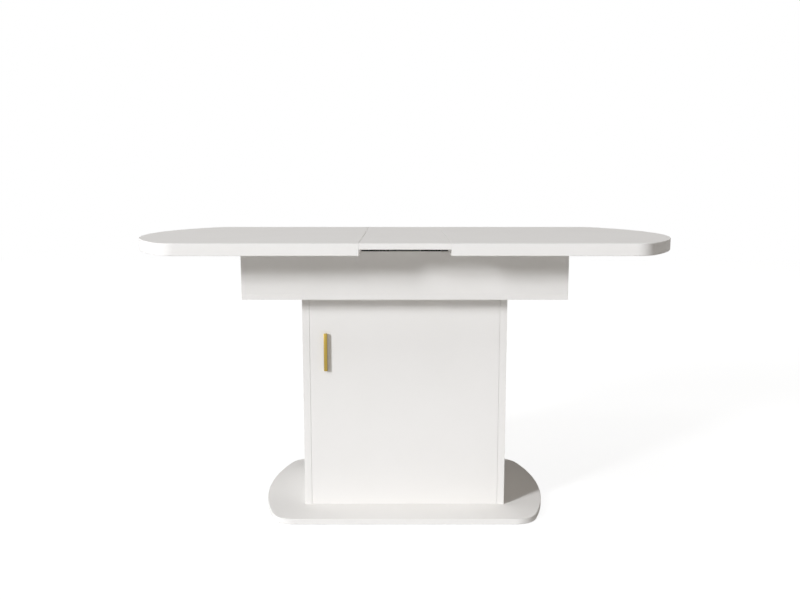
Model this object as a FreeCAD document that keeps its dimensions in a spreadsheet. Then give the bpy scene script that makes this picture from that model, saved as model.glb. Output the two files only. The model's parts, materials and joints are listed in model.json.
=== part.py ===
import FreeCAD, Part
import math
import os
import re
import Sketcher
from FreeCAD import Placement, Rotation, Vector

# Extending dining table: two sliding halves and a drop-in leaf over an apron box,
# on a one-door cabinet pedestal and a round-ended base. Millimetres, +Z up, floor at z = 0,
# origin on the floor under the middle of the leaf, -Y is the side with the door.

SIZES = {
    # table top
    "table_height": 750, "table_depth": 700, "half_length": 606, "leaf_width": 222,
    "end_reach": 162, "end_corner": 60, "strip_corner": 20, "board": 15, "edge_band": 2, "edge_round": 1.5,
    "seam_gap": 0.25, "seam_round": 1, "strip_width": 60, "rest_pad_length": 50,
    "rest_pad_inset": 20,
    # apron box
    "apron_length": 840, "apron_depth": 412, "rail_height": 110, "glide_gap": 1,
    "glide_play": 0.3, "end_glide_length": 40, "end_glide_spread": 110, "end_glide_margin": 1,
    "corner_block": 45, "corner_block_gap": 7, "arris": 0.4,
    # ball slides and the runners that they carry
    "slide_end_gap": 19, "slide_height": 35, "slide_width": 12, "slide_sheet": 1.2,
    "slide_lip": 1.5, "slide_reach": 10, "slide_setback": 3.4, "slide_inset": 24,
    "slide_drop": 20, "slide_screw_inset": 20, "ball_radius": 2, "ball_play": 0.1,
    "ball_row": 6, "ball_margin": 9, "cage_sheet": 0.8, "cage_web": 0.6,
    "cage_setback": 1.8, "cage_reach": 8.4, "cage_margin": 9,
    "runner_thickness": 18, "runner_margin": 5, "runner_drop": 5, "strip_play": 0.5,
    # cabinet pedestal
    "cabinet_width": 546, "cabinet_depth": 279, "side_board": 19, "shelf_height": 262,
    "shelf_setback": 12, "shelf_play": 1, "shelf_pin_radius": 2.5, "shelf_pin_length": 16,
    "shelf_pin_margin": 45,
    # door
    "door_gap": 0.5, "door_end_gap": 0.5, "door_back_gap": 6, "pivot_inset": 12,
    "pivot_depth": 3.3, "pivot_radius": 2, "pivot_play": 0.05, "pivot_length": 8,
    "bush_radius": 3.5, "bush_length": 10, "pivot_plate_length": 36,
    "pivot_plate_thickness": 2, "pivot_plate_edge": 1.2,
    "handle_length": 102, "handle_width": 9.5, "handle_thickness": 4.5, "handle_stand": 6,
    "handle_post": 9, "handle_edge_distance": 42.5, "handle_top_distance": 99,
    "handle_round": 1.2, "handle_screw_radius": 2, "handle_screw_grip": 4,
    "handle_head_radius": 4, "handle_head_height": 2,
    "strike_length": 38, "strike_width": 14, "strike_thickness": 1.5,
    "magnet_length": 46, "magnet_depth": 14, "magnet_height": 13, "magnet_inset": 30,
    "magnet_play": 0.3,
    # base
    "base_length": 781, "base_depth": 484, "base_reach": 95, "base_corner": 62,
    "base_glide_height": 1.5, "base_glide_radius": 12, "base_glide_inset": 60,
    # fasteners
    "screw_radius": 2, "screw_head_radius": 4, "screw_head_depth": 2.4, "screw_grip": 12,
    "small_screw_radius": 1.5, "small_head_radius": 3, "small_screw_length": 13,
    "dowel_radius": 4, "dowel_length": 30, "dowel_depth": 10, "hole_play": 0.1,
    "base_screw_inset": 40, "rail_screw_inset": 60, "dowel_margin": 40, "overrun": 2,
}
BALLS_IN_ROW = 8
# An edge lies on a face when it is nearer than this share of the board or band.
NEAR_SHARE = 0.1
RAIL_SCREW_SHARES = ("-1", "-1 / 3", "1 / 3", "1")
BASE_GLIDE_SHARES = (1, 0.4)
# The straight stretch, reach, corner radius and depth of each outline.
TOP_OUTLINE = ("half_straight", "end_reach", "end_corner", "table_depth")
BASE_OUTLINE = ("base_straight", "base_reach", "base_corner", "base_depth")

doc = FreeCAD.newDocument("ExtendingTable")
sheet = doc.addObject("Spreadsheet::Sheet", "Sizes")
for row, (alias, size) in enumerate(SIZES.items(), start=1):
    sheet.set("A%d" % row, alias)
    sheet.set("B%d" % row, str(size))
    sheet.setAlias("B%d" % row, alias)
places = doc.addObject("App::VarSet", "Places")
doc.recompute()
nodes = {}


def named(text, own=False):
    """Put the sheet's name before its aliases, and the place set's name before its own."""
    def full(match):
        word = match.group(0)
        if word in SIZES:
            return "Sizes." + word
        return "Places." + word if word in places.PropertiesList and not own else word
    return re.sub(r"[a-z]\w+", full, text)


def derive(name, text):
    places.addProperty("App::PropertyFloat", name, "Places")
    places.setExpression(name, named(text, own=True))


def bind(thing, **wanted):
    for prop, text in wanted.items():
        path = "Placement.Base." + prop if prop in ("x", "y", "z") else prop
        thing.setExpression(path, named(text))
    return thing


def size(name):
    return float(getattr(sheet, name, None) or getattr(places, name))


def node(label, thing):
    thing.Label = label
    nodes[label] = thing
    return thing


def box(name, x, y, z, length, width, height):
    thing = doc.addObject("Part::Box", name)
    return bind(thing, Length=length, Width=width, Height=height, x=x, y=y, z=z)


TURNS = {"x": Rotation(Vector(0, 1, 0), 90), "-x": Rotation(Vector(0, 1, 0), -90),
         "y": Rotation(Vector(1, 0, 0), -90), "-y": Rotation(Vector(1, 0, 0), 90),
         "z": Rotation(), "-z": Rotation(Vector(1, 0, 0), 180)}


def rod(name, x, y, z, radius, length, along="z"):
    thing = doc.addObject("Part::Cylinder", name)
    thing.Placement = Placement(Vector(), TURNS[along])
    return bind(thing, Radius=radius, Height=length, x=x, y=y, z=z)


def cone(name, x, y, z, wide, narrow, length, along="z"):
    thing = doc.addObject("Part::Cone", name)
    thing.Placement = Placement(Vector(), TURNS[along])
    return bind(thing, Radius1=wide, Radius2=narrow, Height=length, x=x, y=y, z=z)


def group(name, things):
    thing = doc.addObject("Part::Compound", name)
    thing.Links = things
    return thing


def fuse(name, things):
    thing = doc.addObject("Part::MultiFuse", name)
    thing.Shapes = things
    return thing


def cut(name, base, tools):
    thing = doc.addObject("Part::Cut", name)
    thing.Base = base
    thing.Tool = tools[0] if len(tools) == 1 else group(name + "_cutters", tools)
    return thing


def plane(body, role):
    return [f for f in body.Origin.OriginFeatures if f.Role == role][0]


def sketch(body, name):
    drawn = body.newObject("Sketcher::SketchObject", name)
    drawn.AttachmentSupport = [(plane(body, "XY_Plane"), "")]
    drawn.MapMode = "FlatFace"
    return drawn


def pad(body, profile, length):
    doc.recompute()
    feature = body.newObject("PartDesign::Pad", profile.Name + "_pad")
    feature.Profile = profile
    return bind(feature, Length=length)


def pocket(body, profile):
    doc.recompute()
    feature = body.newObject("PartDesign::Pocket", profile.Name + "_pocket")
    feature.Profile = profile
    feature.Type = "ThroughAll"
    feature.Midplane = True
    body.Tip = feature
    return feature


def round_edges(body, feature, radius, wanted=None):
    """Round the edges that wanted picks, or all of them."""
    doc.recompute()
    rounded = body.newObject("PartDesign::Fillet", body.Name + "_round")
    if wanted:
        found = [i + 1 for i, edge in enumerate(feature.Shape.Edges) if wanted(edge)]
        rounded.Base = (feature, ["Edge%d" % i for i in found])
    else:
        rounded.Base = (feature, [""])
        rounded.UseAllEdges = True
    bind(rounded, Radius=radius)
    body.Tip = rounded


def board(name, x, y, z, length, width, height, arris="arris"):
    """A plain board whose edges are eased."""
    body = doc.addObject("PartDesign::Body", name)
    blank = body.newObject("PartDesign::AdditiveBox", name + "_blank")
    bind(blank, Length=length, Width=width, Height=height)
    round_edges(body, blank, arris)
    return bind(body, x=x, y=y, z=z)


# Places worked out from the sizes

derive("seam_x", "leaf_width / 2 + seam_gap")
derive("travel", "leaf_width / 2")
derive("half_straight", "half_length - end_reach")
derive("base_straight", "base_length / 2 - base_reach")
derive("panel_z", "table_height - board")
derive("strip_z", "table_height - 2 * board")
derive("rail_top", "table_height - 2 * board - glide_gap")
derive("rail_z", "rail_top - rail_height")
derive("apron_z", "rail_z - board")
derive("base_top", "base_glide_height + board")
derive("cabinet_height", "apron_z - base_top")
derive("rail_inner", "apron_depth / 2 - board")
derive("end_rail_inner", "apron_length / 2 - board")
derive("cabinet_inner", "cabinet_width / 2 - side_board")
derive("door_front", "-cabinet_depth / 2")
derive("door_back", "door_front + board")
derive("panel_front", "door_back + door_back_gap")
derive("back_inner", "cabinet_depth / 2 - board")
derive("floor_top", "base_top + board")
derive("ceiling", "apron_z - board")
derive("shelf_z", "floor_top + shelf_height")
derive("door_width", "2 * cabinet_inner - 2 * door_gap")
derive("door_left", "-cabinet_inner + door_gap")
derive("door_z", "base_top + door_end_gap")
derive("door_top", "apron_z - door_end_gap")
derive("pivot_x", "cabinet_inner - door_gap - pivot_inset")
derive("pivot_y", "door_front + pivot_depth")
derive("slide_length", "end_rail_inner - slide_end_gap - travel - slide_inset")
derive("slide_mid", "rail_top - slide_drop - slide_height / 2")
derive("raceway", "2 * ball_radius + 2 * ball_play")
derive("slide_hollow", "slide_height / 2 - slide_sheet")
derive("inner_half_height", "slide_hollow - raceway")
derive("ball_level", "inner_half_height + raceway / 2")
derive("cage_half_height", "ball_level + cage_sheet / 2")
derive("cage_length", "slide_length - travel - cage_margin")
derive("cage_middle", "slide_inset + (slide_length + travel) / 2")
derive("runner_y", "rail_inner - slide_width - runner_thickness")
derive("runner_z", "slide_mid - slide_height / 2 - runner_drop")
derive("ball_pitch", "(cage_length - 2 * ball_margin) / %d" % (BALLS_IN_ROW - 1))
derive("corner_block_height", "runner_z - rail_z - corner_block_gap")
derive("pivot_plate_width", "board - 2 * pivot_plate_edge")
derive("screw_length", "board + screw_grip")
derive("runner_length", "slide_length + 2 * runner_margin")
derive("runner_x", "slide_inset + travel - runner_margin")
doc.recompute()


# Outlines with a round end

def round_ended(body, name, outline, inset=None, corner=None, behind=None):
    """A sketch from the seam line to an end of one wide arc between two corner arcs."""
    straight, reach, turn, depth = outline
    less = size(inset) if inset else 0
    minus = " - " + inset if inset else ""
    radius = size(corner) if corner else size(turn) - less
    far = size(straight)
    deep = size(reach) - less
    half = size(depth) / 2 - less
    back = size("overrun") if behind else 0
    wide = (deep ** 2 + (half - radius) ** 2 - radius ** 2) / (2 * (deep - radius))
    middle = far + deep - wide
    lean = math.atan2(half - radius, far - middle)
    drawn = sketch(body, name)
    line = Part.LineSegment
    up = Vector(0, 0, 1)

    def arc(x, y, bend, first, last):
        return drawn.addGeometry(Part.ArcOfCircle(Part.Circle(Vector(x, y, 0), up, bend),
                                                  first, last))
    seam = drawn.addGeometry(line(Vector(-back, -half, 0), Vector(-back, half, 0)))
    upper = drawn.addGeometry(line(Vector(-back, half, 0), Vector(far, half, 0)))
    lower = drawn.addGeometry(line(Vector(far, -half, 0), Vector(-back, -half, 0)))
    low = arc(far, radius - half, radius, -math.pi / 2, -lean)
    end = arc(middle, 0, wide, -lean, lean)
    high = arc(far, half - radius, radius, lean, math.pi / 2)
    tip = drawn.addGeometry(Part.Point(Vector(far + deep, 0, 0)), True)
    rules = [("Coincident", seam, 2, upper, 1), ("Coincident", lower, 2, seam, 1),
             ("Tangent", lower, 1, low, 1), ("Tangent", low, 2, end, 1),
             ("Tangent", end, 2, high, 1), ("Tangent", high, 2, upper, 2),
             ("Horizontal", upper), ("Horizontal", lower), ("Equal", low, high),
             ("Symmetric", seam, 1, seam, 2, -1), ("PointOnObject", end, 3, -1),
             ("PointOnObject", tip, 1, -1), ("PointOnObject", tip, 1, end)]
    if not behind:
        rules.append(("PointOnObject", seam, 1, -2))
    for rule in rules:
        drawn.addConstraint(Sketcher.Constraint(*rule))
    measured = [(("DistanceY", seam, 1, seam, 2, 2 * half),
                 "%s - 2 * %s" % (depth, inset) if inset else depth),
                (("DistanceX", -1, 1, low, 3, far), straight),
                (("Radius", low, radius), corner or turn + minus),
                (("DistanceX", -1, 1, tip, 1, far + deep), straight + " + " + reach + minus)]
    if behind:
        measured.append((("DistanceX", seam, 1, -1, 1, back), behind))
    for rule, text in measured:
        index = drawn.addConstraint(Sketcher.Constraint(*rule))
        bind(drawn, **{"Constraints[%d]" % index: text})
    return drawn


def ring_edges(band, half_depth):
    """Picks the long outer edges on the upper and lower faces of an edge band."""
    near = NEAR_SHARE * band

    def wanted(edge):
        bounds = edge.BoundBox
        outer = max(abs(bounds.YMin), abs(bounds.YMax)) > half_depth - near
        return bounds.ZLength < near and outer and edge.Length > 2 * band
    return wanted


# The two halves of the top

def half_body(name, side):
    """A body whose X axis runs outwards from the seam."""
    body = doc.addObject("PartDesign::Body", name)
    turned = Rotation(Vector(0, 0, 1), 180 if side < 0 else 0)
    body.Placement = Placement(Vector(), turned)
    return bind(body, x="%d * seam_x" % side)


def dowel_places(side):
    """Where the dowels between each runner and the panel stand."""
    inner = "runner_x + runner_length - dowel_margin / 2"
    outer = "seam_x + strip_width + dowel_margin / 2"
    for face in (-1, 1):
        for x in (inner, outer, "(%s + %s) / 2" % (inner, outer)):
            yield ("%d * (%s)" % (side, x), "%d * (runner_y + runner_thickness / 2)" % face)


def top_half(word, side):
    body = half_body(word + "_panel_body", side)
    drawn = round_ended(body, word + "_panel_outline", TOP_OUTLINE, "edge_band")
    feature = pad(body, drawn, "board")
    bind(body, z="panel_z")
    top = size("board")
    near = NEAR_SHARE * top

    def seam_edge(edge):
        bounds = edge.BoundBox
        return bounds.XMax < near and bounds.ZMin > top - near
    round_edges(body, feature, "seam_round", seam_edge)
    holes = [rod(word + "_dowel_hole", x, y, "panel_z - overrun",
                 "dowel_radius + hole_play", "dowel_depth + overrun + hole_play")
             for x, y in dowel_places(side)]
    node(word + "_top_panel", cut(word + "_panel", body, holes))

    body = half_body(word + "_band_body", side)
    drawn = round_ended(body, word + "_band_outline", TOP_OUTLINE)
    pad(body, drawn, "2 * board")
    drawn = round_ended(body, word + "_band_inside", TOP_OUTLINE, "edge_band", behind="overrun")
    feature = pocket(body, drawn)
    bind(body, z="strip_z")
    round_edges(body, feature, "edge_round",
                ring_edges(size("edge_band"), size("table_depth") / 2))
    node(word + "_edge_band", body)

    body = half_body(word + "_strip_body", side)
    drawn = round_ended(body, word + "_strip_outline", TOP_OUTLINE, "edge_band")
    pad(body, drawn, "board")
    drawn = round_ended(body, word + "_strip_inside", TOP_OUTLINE, "strip_width",
                        "strip_corner", "overrun")
    pocket(body, drawn)
    bind(body, z="strip_z")
    node(word + "_build_up_strip", body)

    near = "seam_x" if side > 0 else "-seam_x - strip_width"
    node(word + "_cross_strip", box(word + "_cross", near, "-table_depth / 2 + strip_width",
                                    "strip_z", "strip_width", "table_depth - 2 * strip_width",
                                    "board"))


def runner(word, side, face):
    """A batten under the half: it hangs into the apron box and is notched over the cross strip."""
    name = "%s_%s_runner" % (word, "front" if face < 0 else "back")
    x = "runner_x" if side > 0 else "-runner_x - runner_length"
    y = "runner_y" if face > 0 else "-runner_y - runner_thickness"
    blank = box(name + "_blank", x, y, "runner_z", "runner_length", "runner_thickness",
                "panel_z - runner_z")
    reach = "seam_x + strip_width + strip_play - runner_x"
    notch_x = "runner_x - overrun" if side > 0 else "-runner_x - (%s)" % reach
    cutters = [box(name + "_notch", notch_x, "%s - overrun" % y, "strip_z - strip_play",
                   "%s + overrun" % reach, "runner_thickness + 2 * overrun",
                   "board + strip_play + overrun")]
    for px, py in dowel_places(side):
        if (face < 0) == py.startswith("-"):
            cutters.append(rod(name + "_dowel_hole", px, py,
                               "panel_z - dowel_length + dowel_depth - hole_play",
                               "dowel_radius + hole_play", "dowel_length"))
    for px in slide_screws(side, "runner_x + runner_margin"):
        cutters.append(rod(name + "_pilot", px, "%d * (runner_y + runner_thickness)" % face,
                           "slide_mid", "small_screw_radius + hole_play",
                           "small_screw_length + hole_play", "-y" if face > 0 else "y"))
    node(name, cut(name + "_cut", blank, cutters))


# Ball slides

def slide_screws(side, start):
    """Where along X the two screws of a slide member stand."""
    for x in ("%s + slide_screw_inset", "%s + slide_length - slide_screw_inset"):
        yield "%d * (%s)" % (side, x % start)


def small_screw(name, x, y, along):
    """A countersunk screw whose head lies flush in a slide's sheet."""
    head = cone(name + "_head", x, y, "slide_mid", "small_head_radius", "small_screw_radius",
                "slide_sheet", along)
    shank = rod(name + "_shank", x, y, "slide_mid", "small_screw_radius",
                "small_screw_length", along)
    return fuse(name, [head, shank])


def small_screw_hole(name, x, y, along):
    sink = cone(name + "_sink", x, y, "slide_mid", "small_head_radius + hole_play",
                "small_screw_radius + hole_play", "slide_sheet", along)
    through = rod(name + "_through", x, y, "slide_mid", "small_screw_radius + hole_play",
                  "small_screw_length", along)
    return [sink, through]


def slide(word, side, face):
    """One two-member slide: outer member on the rail, inner member on the runner, ball cage."""
    where = "%s_%s" % ("front" if face < 0 else "back", word)

    def from_rail(low, high):
        """Y of a layer that lies between two distances from the rail's inner face."""
        return ("rail_inner - (%s)" % high if face > 0 else "-rail_inner + (%s)" % low,
                "(%s) - (%s)" % (high, low))

    def along(start, length):
        return start if side > 0 else "-(%s) - (%s)" % (start, length)

    def block(name, start, length, low, high, half_height, over="0"):
        y, width = from_rail(low, high)
        x = along(start, length)
        return box(where + name, "%s - %s" % (x, over), y, "slide_mid - (%s)" % half_height,
                   "%s + 2 * %s" % (length, over), width, "2 * (%s)" % half_height)

    inwards = "-y" if face > 0 else "y"
    outwards = "y" if face > 0 else "-y"
    start = "slide_inset"
    length = "slide_length"
    hollow = block("_hollow", start, length, "slide_sheet", "slide_reach - slide_sheet",
                   "slide_hollow", "overrun")
    mouth = block("_mouth", start, length, "slide_sheet", "slide_reach + overrun",
                  "slide_hollow - slide_lip", "overrun")
    screws, holes = [], []
    screw_y = "%d * (rail_inner - slide_sheet)" % face
    for i, x in enumerate(slide_screws(side, start)):
        screws.append(small_screw("%s_outer_screw_%d" % (where, i), x, screw_y, outwards))
        holes += small_screw_hole("%s_outer_hole_%d" % (where, i), x, screw_y, outwards)
    blank = block("_outer_blank", start, length, "0", "slide_reach", "slide_height / 2")
    node("slide_outer_" + where, cut(where + "_outer", blank, [hollow, mouth] + holes))

    start = "slide_inset + travel"
    hollow = block("_inner_hollow", start, length, "slide_setback - overrun",
                   "slide_width - slide_sheet", "inner_half_height - slide_sheet", "overrun")
    inner_screws, holes = [], []
    screw_y = "%d * (rail_inner - slide_width + slide_sheet)" % face
    for i, x in enumerate(slide_screws(side, start)):
        inner_screws.append(small_screw("%s_inner_screw_%d" % (where, i), x, screw_y, inwards))
        holes += small_screw_hole("%s_inner_hole_%d" % (where, i), x, screw_y, inwards)
    blank = block("_inner_blank", start, length, "slide_setback", "slide_width",
                  "inner_half_height")
    node("%s_slide_inner_%s" % (word, where.split("_")[0]),
         cut(where + "_inner", blank, [hollow] + holes))

    start = "cage_middle - cage_length / 2"
    blank = block("_cage_blank", start, "cage_length", "cage_setback", "cage_reach",
                  "cage_half_height")
    hollow = block("_cage_hollow", start, "cage_length", "cage_setback + cage_web",
                   "cage_reach + overrun", "cage_half_height - cage_sheet", "overrun")
    balls, holes = [], [hollow]
    ball_y = "%d * (rail_inner - ball_row)" % face
    for i in range(BALLS_IN_ROW):
        x = "%d * (cage_middle + %s * ball_pitch)" % (side, i - (BALLS_IN_ROW - 1) / 2)
        holes.append(rod(where + "_ball_hole", x, ball_y, "slide_mid - slide_height / 2",
                         "ball_radius + ball_play", "slide_height"))
        for level in ("slide_mid - ball_level", "slide_mid + ball_level"):
            ball = doc.addObject("Part::Sphere", where + "_ball")
            balls.append(bind(ball, Radius="ball_radius", x=x, y=ball_y, z=level))
    cage = cut(where + "_cage", blank, holes)
    node("ball_cage_" + where, group(where + "_cage_and_balls", [cage] + balls))
    return screws, inner_screws


outer_screws = []
for word, side in (("left", -1), ("right", 1)):
    top_half(word, side)
    half_screws = []
    for face in (-1, 1):
        runner(word, side, face)
        fixed, moving = slide(word, side, face)
        outer_screws += fixed
        half_screws += moving
    node(word + "_slide_screws", group(word + "_screws", half_screws))
    dowels = [rod(word + "_dowel", x, y, "panel_z - dowel_length + dowel_depth",
                  "dowel_radius", "dowel_length") for x, y in dowel_places(side)]
    node(word + "_runner_dowels", group(word + "_dowels", dowels))
node("slide_outer_screws", group("outer_screws", outer_screws))


# The drop-in leaf

def leaf():
    body = doc.addObject("PartDesign::Body", "leaf_body")
    blank = body.newObject("PartDesign::AdditiveBox", "leaf_blank")
    bind(blank, Length="leaf_width", Width="table_depth - 2 * edge_band", Height="board")
    thick = size("board")
    wide = size("leaf_width")
    near = NEAR_SHARE * size("edge_band")

    def seam_edge(edge):
        bounds = edge.BoundBox
        upper = bounds.ZMin > thick - near
        return upper and bounds.XLength < thick and edge.Length > wide
    round_edges(body, blank, "seam_round", seam_edge)
    bind(body, x="-leaf_width / 2", y="-table_depth / 2 + edge_band", z="panel_z")
    node("leaf_panel", body)

    bands = []
    for face in (-1, 1):
        body = doc.addObject("PartDesign::Body", "leaf_band_body")
        blank = body.newObject("PartDesign::AdditiveBox", "leaf_band_blank")
        bind(blank, Length="leaf_width", Width="edge_band", Height="board")
        outer = 0 if face < 0 else size("edge_band")

        def long_outer_edge(edge):
            bounds = edge.BoundBox
            on_face = abs(bounds.YMin - outer) + abs(bounds.YMax - outer) < near
            return on_face and bounds.ZLength < thick / 2
        round_edges(body, blank, "edge_round", long_outer_edge)
        y = "-table_depth / 2" if face < 0 else "table_depth / 2 - edge_band"
        bands.append(bind(body, x="-leaf_width / 2", y=y, z="panel_z"))
    node("leaf_end_bands", group("leaf_bands", bands))

    pads = []
    for side in (-1, 1):
        for face in (-1, 1):
            x = "leaf_width / 2 - rest_pad_inset - rest_pad_length"
            if side < 0:
                x = "-leaf_width / 2 + rest_pad_inset"
            y = "rail_inner" if face > 0 else "-rail_inner - board"
            pads.append(box("leaf_rest_pad", x, y, "rail_top", "rest_pad_length",
                            "board", "panel_z - rail_top"))
    node("leaf_rest_pads", group("leaf_pads", pads))


leaf()


# Apron box

def wood_screw(name, x, y, z, along="z"):
    head = cone(name + "_head", x, y, z, "screw_head_radius", "screw_radius",
                "screw_head_depth", along)
    shank = rod(name + "_shank", x, y, z, "screw_radius", "screw_length", along)
    return fuse(name, [head, shank])


def wood_screw_hole(name, x, y, z, along="z"):
    sink = cone(name + "_sink", x, y, z, "screw_head_radius + hole_play",
                "screw_radius + hole_play", "screw_head_depth", along)
    bore = rod(name + "_bore", x, y, z, "screw_radius + hole_play",
               "screw_length + hole_play", along)
    return [sink, bore]


def cabinet_screw_places():
    """Where screws stand in the pedestal's two horizontal panels, seen from above."""
    for x in ("-cabinet_inner + base_screw_inset", "0",
              "cabinet_inner - base_screw_inset"):
        for y in ("panel_front + base_screw_inset / 2", "back_inner - base_screw_inset / 2"):
            yield x, y


def rail_screw_places():
    """Where screws rise through the bottom board into the long rails."""
    span = "(apron_length / 2 - rail_screw_inset)"
    for share in RAIL_SCREW_SHARES:
        for face in (-1, 1):
            yield "%s * %s" % (share, span), "%d * (rail_inner + board / 2)" % face


def apron():
    for word, face in (("front", -1), ("back", 1)):
        y = "rail_inner" if face > 0 else "-apron_depth / 2"
        blank = board("apron_%s_blank" % word, "-apron_length / 2", y, "rail_z",
                      "apron_length", "board", "rail_height")
        holes = []
        for x, y in rail_screw_places():
            if (face < 0) == y.startswith("-"):
                holes += wood_screw_hole("rail_hole", x, y, "apron_z")
        for side in (-1, 1):
            for x in slide_screws(side, "slide_inset"):
                holes.append(rod("rail_pilot", x, "%d * (rail_inner - slide_sheet)" % face,
                                 "slide_mid", "small_screw_radius + hole_play",
                                 "small_screw_length + hole_play", "y" if face > 0 else "-y"))
        node("apron_%s_rail" % word, cut("apron_%s_drilled" % word, blank, holes))
    for word, side in (("left", -1), ("right", 1)):
        x = "end_rail_inner" if side > 0 else "-apron_length / 2"
        rail = board("apron_%s_end" % word, x, "-rail_inner", "rail_z", "board",
                     "2 * rail_inner", "rail_height")
        node("apron_%s_rail" % word, rail)

    blank = board("apron_floor", "-apron_length / 2", "-apron_depth / 2", "apron_z",
                  "apron_length", "apron_depth", "board")
    screws, holes = [], []
    for i, (x, y) in enumerate(rail_screw_places()):
        screws.append(wood_screw("rail_screw_%d" % i, x, y, "apron_z"))
        holes += wood_screw_hole("floor_hole", x, y, "apron_z")
    node("bottom_board_screws", group("rail_screws", screws))
    for x, y in cabinet_screw_places():
        holes.append(rod("floor_pilot", x, y, "ceiling", "screw_radius + hole_play",
                         "screw_length + hole_play"))
    holes.append(rod("floor_bush_hole", "pivot_x", "pivot_y", "apron_z - overrun",
                     "bush_radius + hole_play", "bush_length + overrun + hole_play"))
    node("apron_bottom_board", cut("apron_floor_drilled", blank, holes))

    blocks, glides = [], []
    for side in (-1, 1):
        for face in (-1, 1):
            blocks.append(corner_block(side, face))
            x = "%d * (apron_length / 2 - board / 2) - board / 2 + end_glide_margin" % side
            glides.append(box("end_glide", x,
                              "%d * end_glide_spread - end_glide_length / 2" % face,
                              "rail_top", "board - 2 * end_glide_margin", "end_glide_length",
                              "panel_z - rail_top - glide_play"))
    node("corner_blocks", group("apron_corner_blocks", blocks))
    node("end_glide_blocks", group("end_glides", glides))


def corner_block(side, face):
    """A three-cornered block glued into a corner of the apron box."""
    body = doc.addObject("PartDesign::Body", "corner_block")
    drawn = sketch(body, "corner_outline")
    leg = size("corner_block")
    corners = [Vector(0, 0, 0), Vector(leg, 0, 0), Vector(0, leg, 0)]
    sides = [drawn.addGeometry(Part.LineSegment(corners[i - 1], corners[i])) for i in range(3)]
    for a, b in ((0, 1), (1, 2), (2, 0)):
        drawn.addConstraint(Sketcher.Constraint("Coincident", sides[a], 2, sides[b], 1))
    drawn.addConstraint(Sketcher.Constraint("Coincident", sides[0], 2, -1, 1))
    drawn.addConstraint(Sketcher.Constraint("Horizontal", sides[1]))
    drawn.addConstraint(Sketcher.Constraint("Vertical", sides[0]))
    for rule in (("DistanceX", sides[1], 1, sides[1], 2, leg),
                 ("DistanceY", sides[0], 2, sides[0], 1, leg)):
        index = drawn.addConstraint(Sketcher.Constraint(*rule))
        bind(drawn, **{"Constraints[%d]" % index: "corner_block"})
    pad(body, drawn, "corner_block_height")
    quarter = {(-1, -1): 0, (1, -1): 90, (1, 1): 180, (-1, 1): 270}[(side, face)]
    body.Placement = Placement(Vector(), Rotation(Vector(0, 0, 1), quarter))
    return bind(body, x="%d * end_rail_inner" % side, y="%d * rail_inner" % face, z="rail_z")


apron()


# Cabinet pedestal

def side_dowel_places():
    """Where dowels join the sides to the floor and top panels."""
    for level in ("base_top + board / 2", "ceiling + board / 2"):
        for y in ("panel_front + dowel_margin / 2", "(panel_front + back_inner) / 2",
                  "back_inner - dowel_margin / 2"):
            yield y, level


def shelf_pin_places():
    for y in ("panel_front + shelf_setback + shelf_pin_margin", "back_inner - shelf_pin_margin"):
        yield y, "shelf_z - shelf_pin_radius"


def cabinet():
    dowels, pins = [], []
    panel_holes = {"base_top": [], "ceiling": []}
    for word, side in (("left", -1), ("right", 1)):
        x = "cabinet_inner" if side > 0 else "-cabinet_width / 2"
        blank = board("cabinet_%s_blank" % word, x, "door_front", "base_top", "side_board",
                      "cabinet_depth", "cabinet_height")
        holes = []
        inwards = "-x" if side > 0 else "x"
        start = "%d * (cabinet_inner + dowel_depth)" % side
        deeper = "%d * (cabinet_inner + dowel_depth + hole_play)" % side
        for y, z in side_dowel_places():
            dowels.append(rod("side_dowel", start, y, z, "dowel_radius", "dowel_length", inwards))
            hole = rod("side_dowel_hole", deeper, y, z, "dowel_radius + hole_play",
                       "dowel_length + 2 * hole_play", inwards)
            holes.append(hole)
            panel_holes["base_top" if z.startswith("base_top") else "ceiling"].append(hole)
        middle = "%d * (cabinet_inner + shelf_pin_length / 2)" % side
        for y, z in shelf_pin_places():
            pins.append(rod("shelf_pin", middle, y, z, "shelf_pin_radius", "shelf_pin_length",
                            inwards))
            holes.append(rod("shelf_pin_hole", middle, y, z, "shelf_pin_radius + hole_play",
                             "shelf_pin_length", inwards))
        node("cabinet_%s_side" % word, cut("cabinet_%s_drilled" % word, blank, holes))
    node("cabinet_dowels", group("side_dowels", dowels))
    node("shelf_pins", group("pins", pins))

    node("cabinet_back", board("cabinet_rear", "-cabinet_inner", "back_inner", "base_top",
                               "2 * cabinet_inner", "board", "cabinet_height"))
    for name, level in (("cabinet_bottom", "base_top"), ("cabinet_top", "ceiling")):
        blank = board(name + "_blank", "-cabinet_inner", "panel_front", level,
                      "2 * cabinet_inner", "back_inner - panel_front", "board")
        holes = list(panel_holes[level])
        for x, y in cabinet_screw_places():
            if level == "ceiling":
                holes += wood_screw_hole("top_hole", x, y, level)
            else:
                holes.append(rod("bottom_pilot", x, y, "base_glide_height",
                                 "screw_radius + hole_play", "screw_length + hole_play"))
        node(name, cut(name + "_drilled", blank, holes))
    node("cabinet_shelf", board("shelf_board", "-cabinet_inner + shelf_play",
                                "panel_front + shelf_setback", "shelf_z",
                                "2 * cabinet_inner - 2 * shelf_play",
                                "back_inner - panel_front - shelf_setback - shelf_play", "board"))
    for name, level in (("base_screws", "base_glide_height"), ("apron_screws", "ceiling")):
        screws = [wood_screw("%s_%d" % (name, i), x, y, level)
                  for i, (x, y) in enumerate(cabinet_screw_places())]
        node(name, group(name + "_group", screws))
    catch = box("catch_blank", "door_left + magnet_inset",
                "door_back + strike_thickness + magnet_play", "ceiling - magnet_height",
                "magnet_length", "magnet_depth", "magnet_height")
    node("magnet_catch", catch)


cabinet()


# Door on pivot pins

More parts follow.
